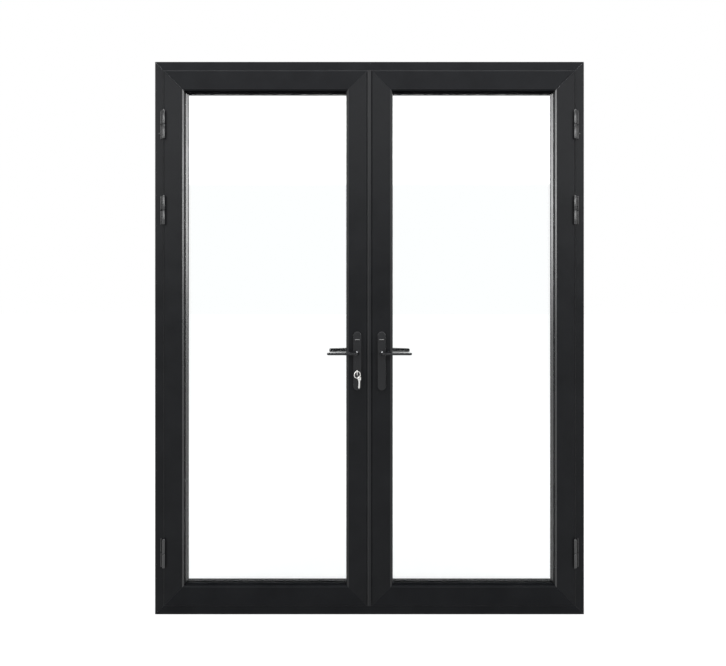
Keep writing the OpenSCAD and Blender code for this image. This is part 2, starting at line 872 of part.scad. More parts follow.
// Strip that closes the gap between the leaves: two heads, a web and a channel for the bolts
module strip_section()
    difference() {
        union() {
            translate([-strip_head_half, strip_front])
                square([strip_head_half + strip_head_right, strip_head_t]);
            translate([-strip_head_half, strip_back - strip_head_t])
                square([2 * strip_head_half, strip_head_t]);
            translate([strip_web, strip_front + strip_head_t / 2])
                square([strip_edge - strip_web, strip_back - strip_front - strip_head_t]);
        }
        translate([rod_x - channel_half, rod_y - channel_half]) square([3 * channel_half, 2 * channel_half]);
        for (head = [[strip_head_right, strip_front], [strip_head_half, strip_back - strip_head_t]])
            translate([head[0], head[1] - overrun])
                square([strip_edge - head[0] + overrun, strip_head_t + 2 * overrun]);
    }

module meeting_strip() color(coat_light)
    difference() {
        translate([0, 0, leaf_z]) linear_extrude(leaf_h) strip_section();
        bolt_way(latch_low, latch_h, bolt_hole_gap, strip_web - overrun, pocket_floor);
        bolt_way(dead_low, dead_h, bolt_hole_gap, strip_web - overrun, strip_edge + overrun);
    }

// Soft bulb on the strip that the other leaf closes against
module meeting_seal() color(black_rubber)
    translate([strip_web - bulb_r, bulb_y, leaf_z])
        linear_extrude(leaf_h)
            difference() {
                union() {
                    circle(bulb_r);
                    translate([0, -bulb_r]) square([bulb_r, 2 * bulb_r]);
                }
                circle(bulb_r - bulb_wall);
            }

module strike_plate() color(steel)
    difference() {
        translate([strip_web - strike_t, -strike_w / 2, strike_low])
            cube([strike_t, strike_w, strike_high - strike_low]);
        for (bolt = [[latch_low, latch_h], [dead_low, dead_h]])
            bolt_way(bolt[0], bolt[1], bolt_hole_gap, strip_web - strike_t - overrun, strip_web + overrun);
    }

// Case in the passive leaf that turns its lever into the throw of the two rods
module bolt_gearbox() color(steel)
    difference() {
        translate([strip_edge + leaf_wall, -case_t / 2, box_low])
            cube([box_back - strip_edge - leaf_wall, case_t, box_high - box_low]);
        right_hand() spindle_hole(box_hole_r);
    }

// Square rod with a tapered tip
module shoot_rod(length) {
    rod_way(length - rod_tip_h, 0);
    translate([rod_x, rod_y, length - rod_tip_h])
        cylinder(r1 = rod_side / 2, r2 = rod_side / 2 - rod_tip_h / 2, h = rod_tip_h);
}

module top_shoot_bolt() color(steel)
    translate([0, 0, spindle_z + rod_gap])
        shoot_rod(leaf_z + leaf_h - rod_rest - spindle_z - rod_gap);

module bottom_shoot_bolt() color(steel)
    translate([0, 0, spindle_z - rod_gap])
        mirror([0, 0, 1])
            shoot_rod(spindle_z - rod_gap - leaf_z - rod_rest);

frame_head();
frame_left_jamb();
frame_right_jamb();
threshold();
frame_corner_cleats();
frame_gasket();
head_bolt_keep();
threshold_bolt_keep();
left_hinge_frame_wings();
right_hinge_frame_wings();
left_hinge_pins();
right_hinge_pins();
left_top_rail();
left_bottom_rail();
left_hinge_stile();
left_lock_stile();
left_corner_cleats();
left_glass_panes();
left_glass_spacer();
left_glazing_beads();
left_glazing_gaskets();
left_setting_blocks();
left_hinge_leaf_wings();
left_front_plate();
left_back_plate();
lock_case();
lock_faceplate();
lock_cylinder();
left_front_lever();
left_back_lever();
left_spindle();
lock_follower();
latch_bolt();
dead_bolt();
cylinder_plug();
key();
key_ring();
spare_key();
right_top_rail();
right_bottom_rail();
right_hinge_stile();
right_lock_stile();
right_corner_cleats();
right_glass_panes();
right_glass_spacer();
right_glazing_beads();
right_glazing_gaskets();
right_setting_blocks();
right_hinge_leaf_wings();
right_front_plate();
right_back_plate();
bolt_gearbox();
meeting_strip();
meeting_seal();
strike_plate();
right_front_lever();
right_back_lever();
right_spindle();
top_shoot_bolt();
bottom_shoot_bolt();
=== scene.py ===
# %% [markdown]
# # A glazed double door, dressed for its photograph
#
# The door arrives as exact solids: hollow aluminium bars, glass, hinges and a lock. This lesson gives each
# of them its finish, models the pieces whose look lies in soft curves and slim edges (beads, seals, levers,
# plates, keys, hinges, screws), and sets up the light and the camera. Nothing that the solids fix is moved:
# every new piece takes its place from the solids' own boxes and joints.

# %% Load the door as a fixed frame
import json
import math
import bmesh
import bpy
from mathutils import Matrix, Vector


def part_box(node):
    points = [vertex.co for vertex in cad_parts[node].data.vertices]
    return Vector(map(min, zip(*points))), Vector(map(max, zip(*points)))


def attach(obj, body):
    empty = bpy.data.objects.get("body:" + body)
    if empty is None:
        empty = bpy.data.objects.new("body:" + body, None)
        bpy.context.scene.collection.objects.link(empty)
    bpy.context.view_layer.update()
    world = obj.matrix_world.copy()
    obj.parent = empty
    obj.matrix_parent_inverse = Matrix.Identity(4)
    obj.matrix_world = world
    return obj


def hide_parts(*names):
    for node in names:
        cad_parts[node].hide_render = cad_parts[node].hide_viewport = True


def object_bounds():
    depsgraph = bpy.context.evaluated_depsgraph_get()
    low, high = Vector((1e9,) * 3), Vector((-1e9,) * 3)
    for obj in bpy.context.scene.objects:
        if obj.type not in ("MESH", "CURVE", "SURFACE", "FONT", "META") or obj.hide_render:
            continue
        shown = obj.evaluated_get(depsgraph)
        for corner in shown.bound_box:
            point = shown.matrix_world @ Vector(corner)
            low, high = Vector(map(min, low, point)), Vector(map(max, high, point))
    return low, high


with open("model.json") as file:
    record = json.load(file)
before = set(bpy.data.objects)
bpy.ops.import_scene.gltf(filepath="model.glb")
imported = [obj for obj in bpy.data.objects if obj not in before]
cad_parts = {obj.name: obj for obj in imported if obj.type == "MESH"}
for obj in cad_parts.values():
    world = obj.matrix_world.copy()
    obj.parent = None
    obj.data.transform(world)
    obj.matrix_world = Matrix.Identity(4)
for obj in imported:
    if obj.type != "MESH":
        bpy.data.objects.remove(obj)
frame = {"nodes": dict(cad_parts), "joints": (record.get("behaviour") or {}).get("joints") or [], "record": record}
cad_low, cad_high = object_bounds()
MM = 0.001
SIDES = {"left": -1, "right": 1}
FACES = {"front": -1, "back": 1}
joints = {joint["name"]: joint for joint in frame["joints"]}
print("door", [round(size / MM) for size in (cad_high - cad_low)], "mm")

# %% [markdown]
# ## The camera
#
# The photograph is square to the door: uprights stay upright, so the camera looks level along +Y, and the
# framing is done by shifting the lens, as an architectural photographer does. How far the lens stood off is
# told by parallax: near the hinges the deep edge of the glass opening shows some twenty millimetres inside
# its front edge, and near the middle almost none. That fits a lens about three metres away. Its height is
# told by the levers: the far one shows some sixteen millimetres above the near one, so the lens stood a
# quarter of a metre above them. The outline's height in pixels then gives the focal length. Tilting the
# camera could frame the door too, but its uprights would then lean together.

# %% Camera from the outline in the photograph
PHOTO_W, PHOTO_H = 726, 666
OUTLINE_TOP_PX, OUTLINE_BOTTOM_PX, OUTLINE_MID_PX = 61.9, 614.3, 369.5
EYE_HEIGHT = 1250 * MM
STAND_OFF = 2900 * MM
SENSOR_MM = 36

face_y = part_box("frame_left_jamb")[0].y
px_per_m = (OUTLINE_BOTTOM_PX - OUTLINE_TOP_PX) / (cad_high.z - cad_low.z)
horizon_px = OUTLINE_BOTTOM_PX - EYE_HEIGHT * px_per_m

camera = bpy.data.objects.new("camera", bpy.data.cameras.new("camera"))
bpy.context.scene.collection.objects.link(camera)
camera.data.lens = STAND_OFF * px_per_m / PHOTO_W * SENSOR_MM
camera.data.sensor_width = SENSOR_MM
camera.data.shift_x = (PHOTO_W / 2 - OUTLINE_MID_PX) / PHOTO_W
camera.data.shift_y = (horizon_px - PHOTO_H / 2) / PHOTO_W
camera.location = (0, face_y - STAND_OFF, EYE_HEIGHT)
camera.rotation_euler = (math.radians(90), 0, 0)
bpy.context.scene.camera = camera
print("lens", round(camera.data.lens, 1), "mm, horizon at", round(horizon_px, 1), "px")

# %% [markdown]
# ## Helpers for colour and nodes
#
# Colours are written as sRGB hex values, the way a paint card gives them, and one function turns them into
# the linear values that the shaders use. A second small function adds a node, sets it and links it, because
# written out one property at a time, each node would take half a dozen lines.

# %% Colour and node helpers
def paint(hex_code):
    """An sRGB hex value as the linear colour that a shader socket takes."""
    parts = [int(hex_code[i:i + 2], 16) / 255 for i in (1, 3, 5)]
    linear = [c / 12.92 if c <= 0.04045 else ((c + 0.055) / 1.055) ** 2.4 for c in parts]
    return (*linear, 1)


def add(tree, kind, inputs=None, **settings):
    """Adds a node; each input is a value, or the socket that feeds it."""
    made = tree.nodes.new(kind)
    for name, value in settings.items():
        setattr(made, name, value)
    for socket, value in (inputs or {}).items():
        if isinstance(value, bpy.types.NodeSocket):
            tree.links.new(value, made.inputs[socket])
        else:
            made.inputs[socket].default_value = value
    return made


def new_material(name):
    """An empty material and its node tree."""
    material = bpy.data.materials.new(name)
    material.use_nodes = True
    material.node_tree.nodes.clear()
    return material, material.node_tree


def per_metre(size_mm):
    """Texture scale at which one feature of a noise is this long, in millimetres."""
    return 1 / (size_mm * MM)


print("mid grey", round(paint("#808080")[0], 3), "in linear light")

# %% [markdown]
# ## The stage
#
# The photograph is a cut-out on white. A white room could be lit until it clips, but that much light would
# wash out a near-black door. So floor and sky are white only to the camera, to mirrors and to glass, while
# the light that falls on the door comes from soft panels and a low, even sky. One panel hangs over the door
# and lets upward edges glint. One stands high behind the camera like a row of windows: the upper part of
# each upright mirrors it, which is why the stiles of the real door fade from grey to black on their way
# down. Two more stand to the left and right in front of the door, above eye height, and draw the light lines
# along sloped edges, hinges and elbows. Close to the door the floor glows less, so that it can carry a soft
# shadow.

# %% Floor, sky and lamps
WHITE, FLOOR_GREY = paint("#ffffff"), paint("#8c8c8c")
FLOOR_SIZE = 60
SHADOW_NEAR, SHADOW_FAR = 0.6, 2.6
FLOOR_GLOW = 0.85
SKY_FILL = 0.15
PANELS = {
    "ceiling_panel": {"place": (0, -0.45, 3.3), "size": (3.8, 1.9), "watts": 95, "aim": (0, -0.45, 0)},
    "window_panel": {"place": (0, -4.2, 2.85), "size": (4.6, 1.3), "watts": 52, "aim": (0, 0, 2.4)},
    "left_panel": {"place": (-3.5, -3.9, 2.4), "size": (2.0, 2.0), "watts": 100, "aim": (0, 0, 1.2)},
    "right_panel": {"place": (3.5, -3.9, 2.4), "size": (2.0, 2.0), "watts": 100, "aim": (0, 0, 1.2)},
}


def seen_white(tree):
    """One for rays that look at the background directly, in a mirror or through glass."""
    rays = add(tree, "ShaderNodeLightPath").outputs
    direct = add(tree, "ShaderNodeMath", {0: rays["Is Camera Ray"], 1: rays["Is Transmission Ray"]},
                 operation="MAXIMUM")
    return add(tree, "ShaderNodeMath", {0: direct.outputs[0], 1: rays["Is Glossy Ray"]},
               operation="MAXIMUM").outputs[0]


floor_material, tree = new_material("pale_studio_floor")
spot = add(tree, "ShaderNodeTexCoord").outputs["Object"]
away = add(tree, "ShaderNodeVectorMath", {0: spot}, operation="LENGTH")
glow = add(tree, "ShaderNodeMapRange", {"Value": away.outputs["Value"], "From Min": SHADOW_NEAR,
                                        "From Max": SHADOW_FAR, "To Min": FLOOR_GLOW, "To Max": 1})
level = add(tree, "ShaderNodeMath", {0: glow.outputs[0], 1: seen_white(tree)}, operation="MULTIPLY")
shine = add(tree, "ShaderNodeEmission", {"Color": WHITE, "Strength": level.outputs[0]})
matt = add(tree, "ShaderNodeBsdfDiffuse", {"Color": FLOOR_GREY})
both = add(tree, "ShaderNodeAddShader", {0: shine.outputs[0], 1: matt.outputs[0]})
add(tree, "ShaderNodeOutputMaterial", {"Surface": both.outputs[0]})

bpy.ops.mesh.primitive_plane_add(size=FLOOR_SIZE)
floor = bpy.context.object
floor.name = "floor"
floor.data.materials.append(floor_material)

world = bpy.data.worlds.new("studio")
bpy.context.scene.world = world
world.use_nodes = True
tree = world.node_tree
tree.nodes.clear()
level = add(tree, "ShaderNodeMapRange", {"Value": seen_white(tree), "To Min": SKY_FILL, "To Max": 1})
sky = add(tree, "ShaderNodeBackground", {"Color": WHITE, "Strength": level.outputs[0]})
add(tree, "ShaderNodeOutputWorld", {"Surface": sky.outputs[0]})

for name, panel in PANELS.items():
    light = bpy.data.lights.new(name, "AREA")
    light.shape = "RECTANGLE"
    light.size, light.size_y = panel["size"]
    light.energy = panel["watts"]
    lamp = bpy.data.objects.new(name, light)
    lamp.location = panel["place"]
    sight = Vector(panel["aim"]) - Vector(panel["place"])
    lamp.rotation_euler = sight.to_track_quat("-Z", "Y").to_euler()
    bpy.context.scene.collection.objects.link(lamp)
bpy.context.scene.view_settings.view_transform = "Standard"
print("lamps", list(PANELS))

# %% [markdown]
# ## Powder-coated aluminium
#
# The bars are extruded aluminium, sprayed with dry powder and baked. The baked film is a plastic skin, so it
# is not metallic: it shows as a near-black satin with a faint orange peel about a millimetre and a half
# across, faint clouds over a hand's width, and a film that thins on sharp edges, where it
# looks paler. Edges are rounded in shading by a bevel, because no extruded edge is truly sharp; modelled
# roundings would look the same and cost many faces. The die leaves faint lines along each bar. On an upright
# they keep a reflection of the windows crisp from top to bottom; on a level bar they smear it, so the level
# bars get a flatter coat. Nosings, hinges and castings are smoother and shine more, and the bead's edge
# beside the hinges is the glossiest. Level beads and the top spacer take a near-black coat without shine,
# a painted shade: they mirror none of the white room and stay dark. The nosings beside the meeting line
# take a darker, duller coat than those beside the hinges: painted shade for the weaker light there.

# %% One function for every coat
PEEL_MM, PEEL_DEEP = 1.6, 0.05 * MM
CLOUD_MM, CLOUD_LOW, CLOUD_HIGH = 90, 0.3, 0.7
GLOSS_SWING = 0.06
WEAR_START, WEAR_FULL, WEAR_MOST = 0.98, 0.75, 0.55
THIN_FILM = "#3c3d41"


# In a colour mix, socket 0 is the factor, 6 and 7 are the two colours, and output 2 is the result.
def powder_coat(name, shades, edge_mm, roughness, peel, shine):
    """A baked coat: two close shades in soft clouds, orange peel, and a paler film where an edge bends."""
    material, tree = new_material(name)
    dark, pale = (paint(shade) for shade in shades)
    place = add(tree, "ShaderNodeTexCoord").outputs["Object"]
    cloud = add(tree, "ShaderNodeTexNoise", {"Vector": place, "Scale": per_metre(CLOUD_MM), "Detail": 3})
    grain = add(tree, "ShaderNodeTexNoise", {"Vector": place, "Scale": per_metre(PEEL_MM), "Detail": 2})
    soft_edge = add(tree, "ShaderNodeBevel", {"Radius": edge_mm * MM}, samples=6)
    true_face = add(tree, "ShaderNodeNewGeometry").outputs["True Normal"]
    facing = add(tree, "ShaderNodeVectorMath", {0: soft_edge.outputs[0], 1: true_face},
                 operation="DOT_PRODUCT")
    edge = add(tree, "ShaderNodeMapRange", {"Value": facing.outputs["Value"], "From Min": WEAR_START,
                                            "From Max": WEAR_FULL, "To Max": WEAR_MOST})
    tone = add(tree, "ShaderNodeMapRange", {"Value": cloud.outputs[0], "From Min": CLOUD_LOW,
                                            "From Max": CLOUD_HIGH})
    body = add(tree, "ShaderNodeMix", {0: tone.outputs[0], 6: dark, 7: pale}, data_type="RGBA")
    worn = add(tree, "ShaderNodeMix", {0: edge.outputs[0], 6: body.outputs[2], 7: paint(THIN_FILM)},
               data_type="RGBA")
    gloss = add(tree, "ShaderNodeMapRange", {"Value": cloud.outputs[0], "To Min": roughness - GLOSS_SWING,
                                             "To Max": roughness + GLOSS_SWING})
    skin = add(tree, "ShaderNodeBump", {"Height": grain.outputs[0], "Strength": peel,
                                        "Distance": PEEL_DEEP, "Normal": soft_edge.outputs[0]})
    shader = add(tree, "ShaderNodeBsdfPrincipled", {
        "Base Color": worn.outputs[2], "Roughness": gloss.outputs[0], "Normal": skin.outputs[0],
        "Specular IOR Level": shine})
    add(tree, "ShaderNodeOutputMaterial", {"Surface": shader.outputs[0]})
    return material


# %% Coats for bars, lips, beads, handles and hinges
DEEP_BLACK = ("#121315", "#17181a")
NEAR_BLACK = ("#161719", "#1b1c1e")
CAST_BLACK = ("#18191b", "#1e1f21")

# After its shades, each coat has an edge radius in mm, a roughness, a strength of the peel, and a shine.
bar_coat = powder_coat("powder_coated_upright", DEEP_BLACK, 0.9, 0.34, 0.35, 0.11)
rail_coat = powder_coat("powder_coated_level_bar", NEAR_BLACK, 0.9, 0.46, 0.35, 0.06)
nosing_coat = powder_coat("powder_coated_nosing", NEAR_BLACK, 0.5, 0.28, 0.1, 0.66)
strip_coat = powder_coat("powder_coated_meeting_strip", NEAR_BLACK, 0.9, 0.34, 0.35, 0.2)
# On the nosings beside the meeting line this coat is painted shade: darker and duller than the hinge side's.
lip_coat = powder_coat("powder_coated_lip", DEEP_BLACK, 0.5, 0.32, 0.1, 0.34)
edge_coat = powder_coat("powder_coated_bead_edge", NEAR_BLACK, 0.2, 0.27, 0.05, 1.0)
# Painted shade: the top spacer and the level beads get near-black coats without shine, so they stay dark.
painted_shade_spacer_coat = powder_coat("black_spacer_in_painted_shade", NEAR_BLACK, 0.3, 0.8, 0.1, 0.0)
painted_shade_bead_coat = powder_coat("powder_coated_level_bead_in_painted_shade", NEAR_BLACK, 0.5, 0.8, 0.35, 0.0)
handle_coat = powder_coat("powder_coated_casting", CAST_BLACK, 0.6, 0.24, 0.2, 0.24)
hinge_coat = powder_coat("powder_coated_hinge", NEAR_BLACK, 0.3, 0.2, 0.1, 0.7)
print("coats", [m.name for m in bpy.data.materials if m.name.startswith(("powder_coated", "black_"))])

# %% [markdown]
# ## Glass, rubber and bare metal
#
# Float glass is clear with a trace of green from iron. The gaskets are extruded EPDM rubber, matt and
# nearly black. The bars between the panes are rolled aluminium, grey beside the lock and black elsewhere.
# Keys are brass under bright nickel, and the lock cylinder is brass under black nickel. Bolts and screws
# are steel under a thin zinc film, drawn and slightly dull; the pins at the levers are polished. A picture
# of scratches could give metal its streaks, but it would have to be unwrapped and would repeat, so one
# noise, stretched along the piece, steers tone, gloss and relief together. Real streaks and rubber grain
# are finer than a pixel, and are drawn a few millimetres wide so that a close view shows them.

# %% Float glass
GLASS_TINT, GLASS_IOR = "#feffff", 1.45

glass, tree = new_material("clear_float_glass")
shader = add(tree, "ShaderNodeBsdfPrincipled", {"Base Color": paint(GLASS_TINT), "Roughness": 0.0,
                                                "IOR": GLASS_IOR, "Transmission Weight": 1})
add(tree, "ShaderNodeOutputMaterial", {"Surface": shader.outputs[0]})
print("glass", glass.name)

# %% EPDM rubber
RUBBER_GRAIN_MM, RUBBER_RELIEF, RUBBER_DEEP = 2.0, 0.4, 0.1 * MM
RUBBER_DARK, RUBBER_PALE = "#141516", "#202122"
RUBBER_ROUGHNESS, RUBBER_IOR = 0.72, 1.48

rubber, tree = new_material("extruded_epdm_rubber")
place = add(tree, "ShaderNodeTexCoord").outputs["Object"]
grain = add(tree, "ShaderNodeTexNoise", {"Vector": place, "Scale": per_metre(RUBBER_GRAIN_MM),
                                         "Detail": 4})
tone = add(tree, "ShaderNodeMix", {0: grain.outputs[0], 6: paint(RUBBER_DARK), 7: paint(RUBBER_PALE)},
           data_type="RGBA")
skin = add(tree, "ShaderNodeBump", {"Height": grain.outputs[0], "Strength": RUBBER_RELIEF,
                                    "Distance": RUBBER_DEEP})
shader = add(tree, "ShaderNodeBsdfPrincipled", {
    "Base Color": tone.outputs[2], "Roughness": RUBBER_ROUGHNESS, "Normal": skin.outputs[0],
    "IOR": RUBBER_IOR})
add(tree, "ShaderNodeOutputMaterial", {"Surface": shader.outputs[0]})
print("rubber", rubber.name)

# %% Bare metals
STREAK_SWING, STREAK_RELIEF, STREAK_DEEP = 0.3, 0.15, 0.05 * MM
EVEN, DRAWN, ROLLED = (1, 1, 1), (1, 1, 0.05), (0.2, 1, 0.2)


def bare_metal(name, light, dark, roughness, streak_mm, stretch, edge_mm):
    """A metal whose tone, gloss and fine relief follow streaks stretched along the piece."""
    material, tree = new_material(name)
    place = add(tree, "ShaderNodeTexCoord").outputs["Object"]
    along = add(tree, "ShaderNodeMapping", {"Vector": place, "Scale": stretch})
    streak = add(tree, "ShaderNodeTexNoise", {"Vector": along.outputs[0], "Scale": per_metre(streak_mm),
                                              "Detail": 4})
    tone = add(tree, "ShaderNodeMix", {0: streak.outputs[0], 6: paint(dark), 7: paint(light)},
               data_type="RGBA")
    gloss = add(tree, "ShaderNodeMapRange", {
        "Value": streak.outputs[0], "To Min": roughness * (1 - STREAK_SWING),
        "To Max": roughness * (1 + STREAK_SWING)})
    soft_edge = add(tree, "ShaderNodeBevel", {"Radius": edge_mm * MM}, samples=4)
    skin = add(tree, "ShaderNodeBump", {"Height": streak.outputs[0], "Strength": STREAK_RELIEF,
                                        "Distance": STREAK_DEEP, "Normal": soft_edge.outputs[0]})
    shader = add(tree, "ShaderNodeBsdfPrincipled", {
        "Base Color": tone.outputs[2], "Roughness": gloss.outputs[0], "Normal": skin.outputs[0],
        "Metallic": 1})
    add(tree, "ShaderNodeOutputMaterial", {"Surface": shader.outputs[0]})
    return material


# Each metal has a paler and a darker tone, a roughness, streaks in mm with their stretch, and edge radius.
nickel = bare_metal("bright_nickel_plate", "#ebeae8", "#d0cecb", 0.16, 6, EVEN, 0.3)
black_nickel = bare_metal("black_nickel_plate", "#3a3b3d", "#2b2c2e", 0.3, 6, EVEN, 0.3)
polished_steel = bare_metal("polished_stainless_steel", "#c4c6c8", "#aeb0b3", 0.08, 4, EVEN, 0.2)
zinc_steel = bare_metal("zinc_plated_steel", "#c9cbce", "#a3a6aa", 0.34, 1.5, DRAWN, 0.3)
mill_aluminium = bare_metal("mill_aluminium", "#c5c7c9", "#a9abae", 0.4, 2.5, DRAWN, 0.3)
spacer_bar = bare_metal("rolled_spacer_aluminium", "#7a7c7f", "#66686b", 0.34, 2.0, ROLLED, 0.3)
# The spacer bars at the bottom and beside the hinges are drawn black.
spacer_black = bare_metal("black_spacer_aluminium", "#1c1d1e", "#131415", 0.5, 2.0, ROLLED, 0.3)
print("materials so far", len(bpy.data.materials))

# %% Finish of every solid
FINISHES = {
    "powder_coat": bar_coat, "handle_coat": handle_coat, "hinge_coat": hinge_coat, "clear_glass": glass,
    "black_rubber": rubber, "nickel": nickel, "lock_steel": zinc_steel, "cleat_aluminium": mill_aluminium,
    "spacer_aluminium": spacer_bar,
}
LEVEL_BARS = ("frame_head", "threshold", "top_rail", "bottom_rail")
for part in frame["record"]["subparts"]:
    node = frame["nodes"][part["node"]]
    finish = FINISHES[part["material_slot"]]
    if part["node"].endswith(LEVEL_BARS):
        finish = rail_coat
    if part["node"] == "meeting_strip":
        finish = strip_coat
    if part["node"].endswith("hinge_pins"):
        finish = hinge_coat
    if part["node"] in ("lock_cylinder", "cylinder_plug"):
        finish = black_nickel
    node.data.materials.clear()
    node.data.materials.append(finish)

# %% [markdown]
# ## Building rounded pieces
#
# Cast and stamped pieces have no knife edges. They could be boxes and cylinders with bevels, but a casting
# changes its section all along its length. The helpers below stack rings of points, one ring for each step
# of a section, and skin them with faces. A lever is a row of oval rings along a bent line; a plate is a row
# of shrinking outlines that follow a quarter circle over its rim.

# %% Ring skinning
CREASE = math.radians(40)


def skin_rings(rings, name, material, looped=False):
    """A mesh object from rings of equally many points, in order along the piece or round in a loop."""
    mesh = bmesh.new()
    rows = [[mesh.verts.new(point) for point in ring] for ring in rings]
    count = len(rings[0])
    for near, far in zip(rows, rows[1:] + rows[:1] if looped else rows[1:]):
        for i in range(count):
            mesh.faces.new((near[i], near[(i + 1) % count], far[(i + 1) % count], far[i]))
    if not looped:
        mesh.faces.new(rows[0])
        mesh.faces.new(rows[-1])
    return as_object(mesh, name, material)


def as_object(mesh, name, material):
    """Turns a bmesh into a smooth-shaded object with a material."""
    bmesh.ops.recalc_face_normals(mesh, faces=mesh.faces)
    for face in mesh.faces:
        face.smooth = True
    data = bpy.data.meshes.new(name)
    mesh.to_mesh(data)
    mesh.free()
    data.set_sharp_from_angle(angle=CREASE)
    data.materials.append(material)
    made = bpy.data.objects.new(name, data)
    bpy.context.scene.collection.objects.link(made)
    return made


def seat(piece, body, slot, *nodes):
    """Lets a piece ride on a body and stand for the solids it replaces; the slot is not used."""
    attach(piece, body)
    if nodes:
        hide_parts(*nodes)
    return piece


def lerp(low, high, share):
    """The value at a share of the way from low to high."""
    return low + (high - low) * share


def ease(share):
    """A share that starts and ends gently."""
    return share * share * (3 - 2 * share)


# %% [markdown]
# ## Nosings, glazing beads and spacer bars
#
# Round each pane run three slim frames. The nosing lies along the lip of the bars, a shallow slope towards
# the glass that catches the light from the sides. The bead behind it is the strip that clips in last and
# holds the glass; beside the hinges it ends in a glossy slope, which mirrors the light beside the door as a
# line along the glass that fades downwards. The spacer keeps the two panes apart; it is grey beside the
# lock and black elsewhere. Each frame is made of four bars with mitred ends: one section, drawn as insets
# from the frame's outer edge, is swept along the bar, and every point's inset also shortens the bar, which
# cuts the mitre by itself. A bar swept along a curve would need its ends trimmed. Separate bars also let
# upright and level lengths have their own finish, as on the bars that carry them.

# %% Four mitred bars round a box
def mitred_bars(name, low, high, section, body, slot, finishes, *nodes):
    """Bars round a box in the X-Z plane; a section point is an inset from the box and a depth along Y."""
    bars = []
    for side, finish in finishes.items():
        ends = []
        for share in (0, 1):
            ring = []
            for inset, y in section:
                x = lerp(low.x + inset, high.x - inset, {"left": 0, "right": 1}.get(side, share))
                z = lerp(low.z + inset, high.z - inset, {"bottom": 0, "top": 1}.get(side, share))
                ring.append(Vector((x, y, z)))
            ends.append(ring)
        bar = skin_rings(ends, f"{name}_{side}", finish)
        bars.append(seat(bar, body, slot, *nodes))
    return bars


# %% Nosings, beads and spacers of both leaves
NOSING_FOOT, NOSING_PEAK, NOSING_END = 71.0 * MM, 71.8 * MM, 77.2 * MM
NOSING_PROUD, NOSING_FALL = 0.85 * MM, 3.15 * MM
NOSING_SUNK, NOSING_T, NOSING_HEEL = 0.2 * MM, 1 * MM, 5 * MM
BEAD_W, BEAD_ROUND = 9.8 * MM, 2.5 * MM
EDGE_REACH, EDGE_FALL, EDGE_FOOT = 7.0 * MM, 4.05 * MM, 0.6 * MM
EDGE_SUNK, EDGE_CLEAR = 0.2 * MM, 0.1 * MM
SPACER_H, SPACER_CHAMFER = 6 * MM, 0.8 * MM

slim_bars = []
for side, (hinge_side, lock_side) in {"left": ("left", "right"), "right": ("right", "left")}.items():
    leaf = f"{side}_leaf"
    rail_low, rail_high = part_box(f"{side}_top_rail")
    stiles = [corner for name in ("hinge", "lock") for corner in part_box(f"{side}_{name}_stile")]
    low = Vector((min(c.x for c in stiles), 0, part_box(f"{side}_bottom_rail")[0].z))
    high = Vector((max(c.x for c in stiles), 0, rail_high.z))
    peak_y = rail_low.y - NOSING_PROUD
    end_y = peak_y + NOSING_FALL
    section = [(NOSING_FOOT, rail_low.y + NOSING_SUNK), (NOSING_PEAK, peak_y), (NOSING_END, end_y),
               (NOSING_END, end_y + NOSING_T), (NOSING_END - NOSING_HEEL, end_y)]
    # Beside the meeting line the nosing takes the darker, duller lip coat, which paints it in shade.
    slim_bars += mitred_bars(f"{side}_nosing", low, high, section, leaf, "powder_coat",
                             {"top": rail_coat, "bottom": rail_coat, hinge_side: nosing_coat,
                              lock_side: lip_coat})

    node = f"{side}_glazing_beads"
    low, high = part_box(node)
    section = [(0, high.y), (0, low.y)]
    section += [(BEAD_W - BEAD_ROUND * (1 - math.sin(turn)), low.y + BEAD_ROUND * (1 - math.cos(turn)))
                for turn in (math.radians(angle) for angle in range(0, 91, 15))]
    section += [(BEAD_W, high.y)]
    # The level beads take the coat without shine, which paints them in shade.
    slim_bars += mitred_bars(f"{side}_bead", low, high, section, leaf, "powder_coat",
                             {"top": painted_shade_bead_coat, "bottom": painted_shade_bead_coat, hinge_side: lip_coat,
                              lock_side: lip_coat}, node)
    edge = BEAD_W + EDGE_REACH
    section = [(BEAD_W - EDGE_SUNK, high.y - EDGE_FOOT - EDGE_FALL), (edge, high.y - EDGE_FOOT),
               (edge, high.y - EDGE_CLEAR), (BEAD_W - EDGE_SUNK, high.y)]
    slim_bars += mitred_bars(f"{side}_bead_edge", low, high, section, leaf, "powder_coat",
                             {hinge_side: edge_coat})

    # The top spacer takes a near-black coat without shine, which paints it in shade.
    node = f"{side}_glass_spacer"
    low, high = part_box(node)
    section = [(0, low.y), (SPACER_H - SPACER_CHAMFER, low.y), (SPACER_H, low.y + SPACER_CHAMFER),
               (SPACER_H, high.y - SPACER_CHAMFER), (SPACER_H - SPACER_CHAMFER, high.y), (0, high.y)]
    slim_bars += mitred_bars(f"{side}_spacer", low, high, section, leaf, "spacer_aluminium",
                             {"top": painted_shade_spacer_coat, "bottom": spacer_black, hinge_side: spacer_black,
                              lock_side: spacer_bar}, node)
print("slim bars", len(slim_bars))

# %% [markdown]
# ## Gap seal
#
# A slim rubber seal closes the two-millimetre gap between the frame and the leaves, just behind the frame's
# face. A flat strip would read as a black crack; this is one more frame of mitred bars, with a small crown
# so that it catches a little light.

